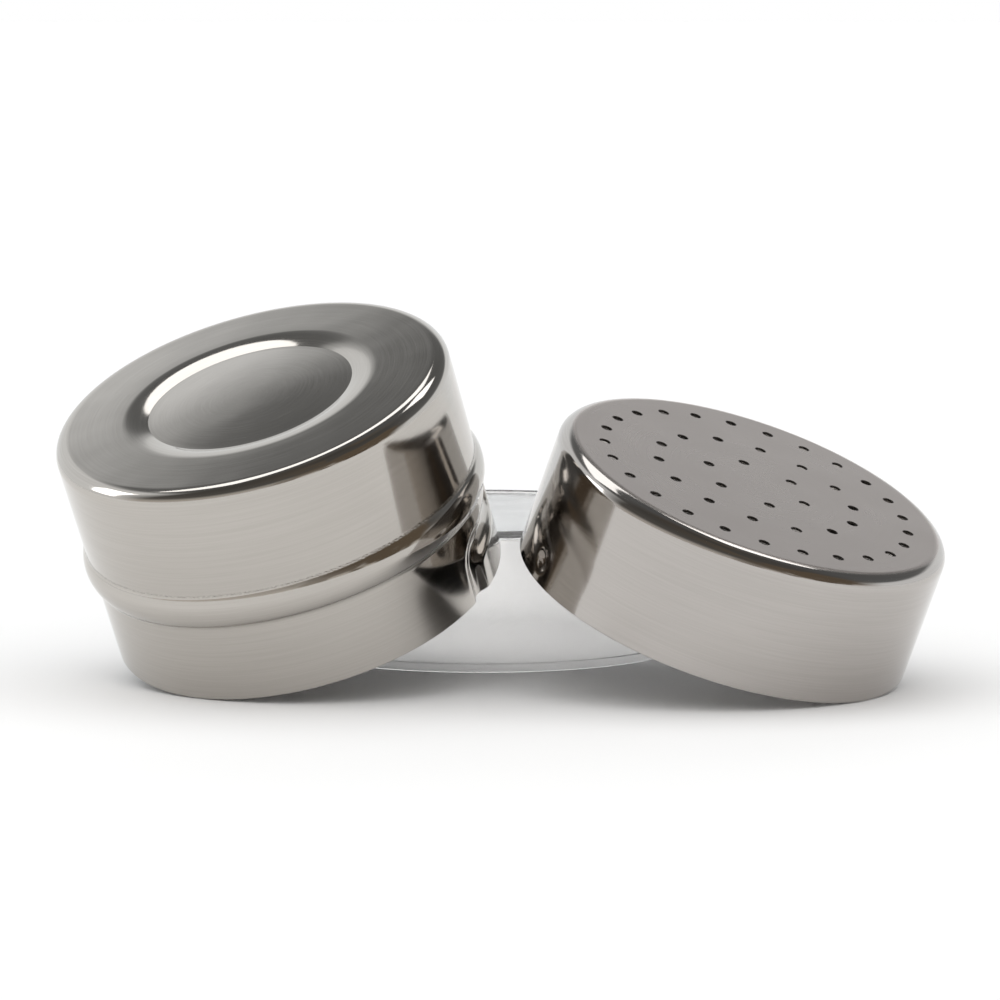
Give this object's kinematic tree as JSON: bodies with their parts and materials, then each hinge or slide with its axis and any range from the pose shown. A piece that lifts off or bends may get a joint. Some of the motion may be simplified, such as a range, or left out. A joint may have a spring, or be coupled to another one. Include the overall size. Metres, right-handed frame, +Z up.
{
  "type": "spice shaker",
  "caption": "Round steel spice shaker taken apart: drawn can with a bayonet neck, perforated twist-on cap and a translucent plastic cover, leaning together on a table.",
  "frame": {"origin": "on the table, under the middle of the laid-out group", "axes": "+Z up from the table, +Y away from the viewer, +X to the viewer's right"},
  "size_m": [0.153, 0.1239, 0.065],
  "materials": {
    "can_steel": "polished drawn stainless steel",
    "cap_steel": "satin face and polished skirt",
    "cover_plastic": "translucent milky plastic"
  },
  "bodies": {
    "cover": {"plastic_cover": "cover_plastic"},
    "can": {"steel_can": "can_steel"},
    "cap": {"shaker_cap": "cap_steel"}
  },
  "joints": [
    {"name": "can_lift", "type": "slide", "parent": "cover", "child": "can", "axis": [-0.2397, -0.35, 0.9056], "range_m": [0, 0.045]},
    {"name": "cap_lift", "type": "slide", "parent": "cover", "child": "cap", "axis": [0.3053, -0.2464, 0.9198], "range_m": [0, 0.045]}
  ]
}
